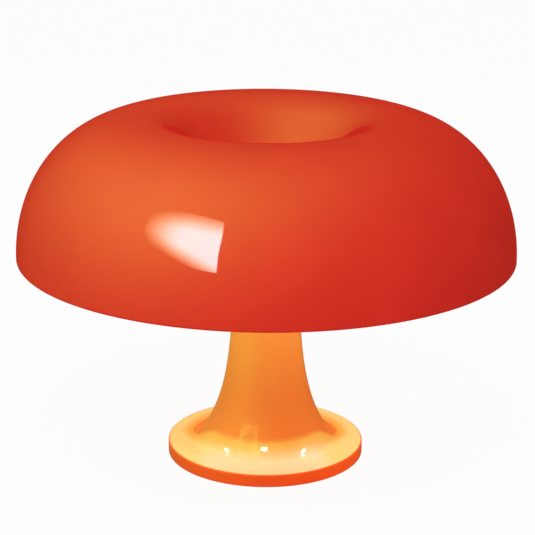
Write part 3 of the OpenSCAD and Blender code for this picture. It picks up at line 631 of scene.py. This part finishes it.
# Bulb caps with a rolled thread
threadShape = {
    "pitch": 0.00282, "depth": 0.0005, "wall": 0.0003, "rings": 84, "turns": 72,
    "runIn": 0.0022, "runInFrom": 0.0008, "collar": 0.0046, "taper": 0.0006, "taperLength": 0.0012,
    "sharpAngle": 50,
}


def makeBulbCap(side, index, v):
    low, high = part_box("bulb_cap_right")
    start, end = low.x, high.x
    radius, height = (high.y - low.y)/2, (high.z + low.z)/2
    mesh = bpy.data.meshes.new(f"bulbThread_{side}")
    shape = bmesh.new()

    def makeRing(reach, radii):
        turns = [2*math.pi*m/v["turns"] for m in range(v["turns"])]
        return [shape.verts.new((reach, r*math.cos(turn), r*math.sin(turn))) for r, turn in zip(radii, turns)]

    rings = []
    for k in range(v["rings"] + 1):
        reach = start + (end - start)*k/v["rings"]
        taper = v["taper"]*max(0.0, 1 - (reach - start)/v["taperLength"])
        fade = min(1.0, max(0.0, (reach - start - v["runInFrom"])/v["runIn"]),
                   max(0.0, (end - v["collar"] - reach)/v["runIn"] + 1))
        waves = [0.5 - 0.5*math.cos(2*math.pi*(reach/v["pitch"] - m/v["turns"])) for m in range(v["turns"])]
        rings.append(makeRing(reach, [radius - taper - v["depth"]*fade*wave for wave in waves]))
    for reach, r in ((end, radius - v["wall"]), (start, radius - v["taper"] - v["wall"])):
        rings.append(makeRing(reach, [r]*v["turns"]))
    for k in range(len(rings)):
        here, after = rings[k], rings[(k + 1) % len(rings)]
        for m in range(v["turns"]):
            n = (m + 1) % v["turns"]
            face = shape.faces.new((here[m], here[n], after[n], after[m]))
            face.smooth = True
    bmesh.ops.recalc_face_normals(shape, faces=shape.faces)
    place = Matrix.Translation((0, 0, height)) @ Matrix.Rotation(math.radians(90*index - 90), 4, "Z")
    bmesh.ops.transform(shape, matrix=place, verts=shape.verts)
    shape.to_mesh(mesh)
    shape.free()
    mesh.set_sharp_from_angle(angle=math.radians(v["sharpAngle"]))
    piece = bpy.data.objects.new(mesh.name, mesh)
    scene.collection.objects.link(piece)
    giveFinish(piece, metal["capNickel"])
    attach(piece, f"bulb_{side}")
    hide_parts(f"bulb_cap_{side}")


for index, side in enumerate(sides):
    makeBulbCap(side, index, threadShape)
print("bulb threads made")


# Stage: floor, world, reflections and lamps
stage = {
    "floorSize": 12.0, "floorColour": (0.86, 0.86, 0.86), "floorWhite": 0.955, "worldAmbient": 0.56,
    "worldWhite": 0.975, "domeRadius": 4.0, "domeSegments": (48, 24), "domeBase": (0.05, 0.05, 0.05),
}


def seenAsBackdrop(tree):
    # camera, mirror and glass rays see the plain white backdrop
    path = tree.nodes.new("ShaderNodeLightPath").outputs
    seen = maths(tree, "MAXIMUM", path["Is Camera Ray"], path["Is Glossy Ray"])
    return maths(tree, "MAXIMUM", seen, path["Is Transmission Ray"])


def makeWorld(v):
    world = bpy.data.worlds.new("studioWorld")
    scene.world = world
    world.use_nodes = True
    tree = world.node_tree
    back = tree.nodes["Background"]
    back.inputs["Color"].default_value = (1, 1, 1, 1)
    strength = stepBetween(tree, seenAsBackdrop(tree), 0.0, 1.0, v["worldAmbient"], v["worldWhite"])
    tree.links.new(strength, back.inputs["Strength"])


def makeFloor(v):
    mesh = bpy.data.meshes.new("floor")
    half = v["floorSize"]/2
    corners = [(-half, -half, 0), (half, -half, 0), (half, half, 0), (-half, half, 0)]
    mesh.from_pydata(corners, [], [(0, 1, 2, 3)])
    floor = bpy.data.objects.new("floor", mesh)
    scene.collection.objects.link(floor)
    material = bpy.data.materials.new("floorPaper")
    material.use_nodes = True
    tree = material.node_tree
    tree.nodes.remove(tree.nodes["Principled BSDF"])
    paper = makeNode(tree, "ShaderNodeBsdfDiffuse", {"Color": (*v["floorColour"], 1)}).outputs[0]
    white = makeNode(tree, "ShaderNodeEmission", {"Color": (1, 1, 1, 1), "Strength": 1.0}).outputs[0]
    share = maths(tree, "MULTIPLY", seenAsBackdrop(tree), v["floorWhite"])
    mixed = makeNode(tree, "ShaderNodeMixShader", {0: share, 1: paper, 2: white}).outputs[0]
    tree.links.new(mixed, tree.nodes["Material Output"].inputs["Surface"])
    giveFinish(floor, material)
    floor.visible_glossy = False  # the flags stand for it in reflections
    floor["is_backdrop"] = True


def lightOnly(lamp, piece):
    chosen = bpy.data.collections.new(lamp.name + "Pieces")
    chosen.objects.link(piece)
    lamp.light_linking.receiver_collection = chosen


def onlyInReflections(piece):
    piece.visible_camera = False
    piece.visible_diffuse = False
    piece.visible_transmission = False
    piece.visible_volume_scatter = False
    piece.visible_shadow = False
    piece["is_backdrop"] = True


# Black flags all round, with two warm banks on the left, that only reflections see
banks = [
    {"towards": (-0.611, -0.158, 0.776), "colour": (3.77, 2.9, 0.49), "narrowness": 2.5},
    {"towards": (-0.547, 0.741, 0.39), "colour": (1.1, 0.84, 0.14), "narrowness": 5.7},
]


def bankGlow(tree, glow, allBanks):
    where = tree.nodes.new("ShaderNodeNewGeometry").outputs["Position"]
    heading = makeNode(tree, "ShaderNodeVectorMath", {0: where}, operation="NORMALIZE").outputs[0]
    for b in allBanks:
        towards = Vector(b["towards"]).normalized()
        facing = makeNode(tree, "ShaderNodeVectorMath", {0: heading, 1: towards},
                          operation="DOT_PRODUCT").outputs["Value"]
        fall = maths(tree, "EXPONENT", maths(tree, "MULTIPLY_ADD", facing, b["narrowness"], -b["narrowness"]))
        fall = makeNode(tree, "ShaderNodeCombineXYZ", {"X": fall, "Y": fall, "Z": fall}).outputs[0]
        glow = makeNode(tree, "ShaderNodeVectorMath", {0: fall, 1: b["colour"], 2: glow},
                        operation="MULTIPLY_ADD").outputs[0]
    return glow


def makeReflectionDome(v, allBanks):
    shape = bmesh.new()
    around, upwards = v["domeSegments"]
    bmesh.ops.create_uvsphere(shape, u_segments=around, v_segments=upwards, radius=v["domeRadius"])
    mesh = bpy.data.meshes.new("flags")
    shape.to_mesh(mesh)
    shape.free()
    dome = bpy.data.objects.new("flags", mesh)
    scene.collection.objects.link(dome)
    material = bpy.data.materials.new("flagCloth")
    material.use_nodes = True
    tree = material.node_tree
    tree.nodes.remove(tree.nodes["Principled BSDF"])
    glow = bankGlow(tree, v["domeBase"], allBanks)
    shine = makeNode(tree, "ShaderNodeEmission", {"Color": glow}).outputs[0]
    tree.links.new(shine, tree.nodes["Material Output"].inputs["Surface"])
    giveFinish(dome, material)
    onlyInReflections(dome)


# The softbox whose mirror image is the shade's highlight
softBox = {
    "centre": (-0.5787, -0.9088, 0.9348), "towards": (-0.4508, -0.6518, 0.6099), "strength": 19.0,
    "core": (1.0, 0.94, 1.0), "fringe": (1.0, 0.88, 0.36),
    "sideFade": (0.7, 0.14), "topFade": (0.46, 0.08), "topLeast": 0.12,
    "slant": -0.55, "lowerFade": (-0.5, -0.18),
    "corners": [(-0.10, 0.375), (0.05, 0.405), (0.20, 0.43), (0.355, 0.43), (0.50, 0.41), (0.62, 0.28),
                (0.60, 0.0), (0.48, -0.2), (0.29, -0.3), (0.1, -0.4), (-0.06, -0.46), (-0.29, -0.47),
                (-0.255, -0.29), (-0.22, -0.1), (-0.17, 0.145)],
}


def makeSoftBox(v, backdrop, allBanks):
    towards = Vector(v["towards"]).normalized()
    across = towards.cross(Vector((0, 0, 1))).normalized()
    rise = across.cross(towards)
    mesh = bpy.data.meshes.new("softBox")
    mesh.from_pydata([(x, y, 0) for x, y in v["corners"]], [], [tuple(range(len(v["corners"])))])
    piece = bpy.data.objects.new("softBox", mesh)
    scene.collection.objects.link(piece)
    turn = Matrix((across, rise, across.cross(rise))).transposed().to_4x4()
    piece.matrix_world = Matrix.Translation(v["centre"]) @ turn
    material = bpy.data.materials.new("softBoxCloth")
    material.use_nodes = True
    tree = material.node_tree
    tree.nodes.remove(tree.nodes["Principled BSDF"])
    place = splitPlace(tree)
    sideways = stepBetween(tree, place["X"], *v["sideFade"])
    upwards = stepBetween(tree, place["Y"], *v["topFade"], v["topLeast"], 1.0)
    # the lower edge fades out along a slanting line
    slanted = maths(tree, "MULTIPLY_ADD", place["X"], v["slant"], place["Y"])
    lower = stepBetween(tree, slanted, *v["lowerFade"])
    share = maths(tree, "MULTIPLY", maths(tree, "MULTIPLY", sideways, upwards), lower)
    colour = blendColours(tree, share, v["fringe"], v["core"])
    strength = maths(tree, "MULTIPLY", share, v["strength"])
    shine = makeNode(tree, "ShaderNodeVectorMath", {0: colour, "Scale": strength},
                     operation="SCALE").outputs[0]
    glow = makeNode(tree, "ShaderNodeVectorMath", {0: shine, 1: bankGlow(tree, backdrop, allBanks)},
                    operation="ADD").outputs[0]
    glow = makeNode(tree, "ShaderNodeEmission", {"Color": glow}).outputs[0]
    tree.links.new(glow, tree.nodes["Material Output"].inputs["Surface"])
    giveFinish(piece, material)
    onlyInReflections(piece)
    lightOnly(piece, shadeShell)


def makeLamp(name, place, aim, size, power=None, radiance=None, colour=(1, 1, 1), spread=180,
             only=None, mirrored=False, shape="ELLIPSE"):
    data = bpy.data.lights.new(name, "AREA")
    data.shape = shape
    data.size, data.size_y = size if isinstance(size, tuple) else (size, size)
    data.energy = power or radiance*math.pi*data.size*data.size_y
    data.color = colour
    data.spread = math.radians(spread)
    lamp = bpy.data.objects.new(name, data)
    scene.collection.objects.link(lamp)
    lamp.location = place
    lamp.rotation_mode = "QUATERNION"
    lamp.rotation_quaternion = (Vector(aim) - Vector(place)).to_track_quat("-Z", "Y")
    lamp.visible_glossy = mirrored
    lamp.visible_diffuse = not mirrored
    lamp.visible_camera = False
    if only:
        lightOnly(lamp, only)


# Studio lamps, and the light that falls from under the shade on the foot
stemPiece = nodes["stem_body"]
lamps = {
    "key": {"place": (-0.12, -0.83, 1.75), "aim": (0, 0, 0.15), "power": 11.8, "size": 0.8},
    "lowFill": {"place": (-0.55, -1.4, 0.16), "aim": (0, 0, 0.17), "power": 3.3, "size": 0.25,
                "only": shadeShell},
    "stemFill": {"place": (0.35, -1.4, 0.16), "aim": (0, 0, 0.07), "power": 4.2, "size": 0.3,
                 "only": stemPiece},
    "leftGlow": {"place": (-0.13, -0.12, 0.1), "aim": (-0.02, -0.01, 0.06), "power": 0.048, "size": 0.05,
                 "colour": (0.2, 1.0, 0.3), "spread": 100, "only": stemPiece},
    "rightGlow": {"place": (0.2, -0.06, 0.12), "aim": (0, 0, 0.07), "power": 0.2, "size": 0.06,
                  "colour": (0.5, 1.0, 0.45), "only": stemPiece},
    "footGlow": {"place": (0, 0, 0.134), "aim": (0, 0, 0), "power": 0.14, "size": 0.24,
                 "colour": (1.0, 0.8, 0.5), "spread": 100, "only": stemPiece},
    "leftHalo": {"place": (-0.034, -0.042, 0.022), "aim": (-0.03, -0.04, 0.0087), "power": 0.0004,
                 "size": 0.006, "colour": (0.1, 0.5, 1.0), "only": stemPiece},
    "frontHalo": {"place": (-0.001, -0.0495, 0.0242), "aim": (-0.0007, -0.0403, 0.0164), "power": 0.00018,
                  "size": 0.006, "colour": (0.1, 0.5, 1.0), "only": stemPiece},
    "rightHalo": {"place": (0.0344, -0.0373, 0.0194), "aim": (0.0246, -0.0349, 0.0128), "power": 0.0004,
                  "size": 0.006, "colour": (0.1, 0.5, 1.0), "only": stemPiece},
}

# What only the gloss of the foot mirrors: three lit bulbs, and the softbox beyond the shade's rim
mirroredLights = {
    "leftBulb": {"place": (-0.0312, -0.0361, 0.0174), "aim": (-0.0247, -0.0346, 0.013),
                 "size": (0.0045, 0.0018), "radiance": 1.8, "colour": (1.0, 1.0, 0.85), "spread": 50},
    "frontBulb": {"place": (-0.0009, -0.0464, 0.0216), "aim": (-0.0007, -0.0403, 0.0164),
                  "size": (0.0065, 0.0022), "radiance": 1.8, "colour": (1.0, 1.0, 0.85), "spread": 50},
    "rightBulb": {"place": (0.0311, -0.0365, 0.0172), "aim": (0.0246, -0.0349, 0.0128),
                  "size": (0.0055, 0.0018), "radiance": 1.8, "colour": (1.0, 1.0, 0.85), "spread": 50},
    "softBoxEdge": {"place": (-0.472, -0.644, 0.665), "aim": (-0.069, 0.039, 0.055), "size": (0.61, 0.65),
                    "radiance": 2.4, "colour": (0.6, 1.0, 0.2), "shape": "RECTANGLE"},
}

makeWorld(stage)
makeFloor(stage)
makeReflectionDome(stage, banks)
makeSoftBox(softBox, stage["domeBase"], banks)
for name, v in lamps.items():
    makeLamp(name, **v)
for name, v in mirroredLights.items():
    makeLamp(name, **v, only=stemPiece, mirrored=True)
print("stage and lamps set")

scene.view_settings.view_transform = "Standard"
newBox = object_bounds()
newSize, cadSize = newBox[1] - newBox[0], cadBox[1] - cadBox[0]
print("size", [round(v, 4) for v in newSize], "of", [round(v, 4) for v in cadSize])
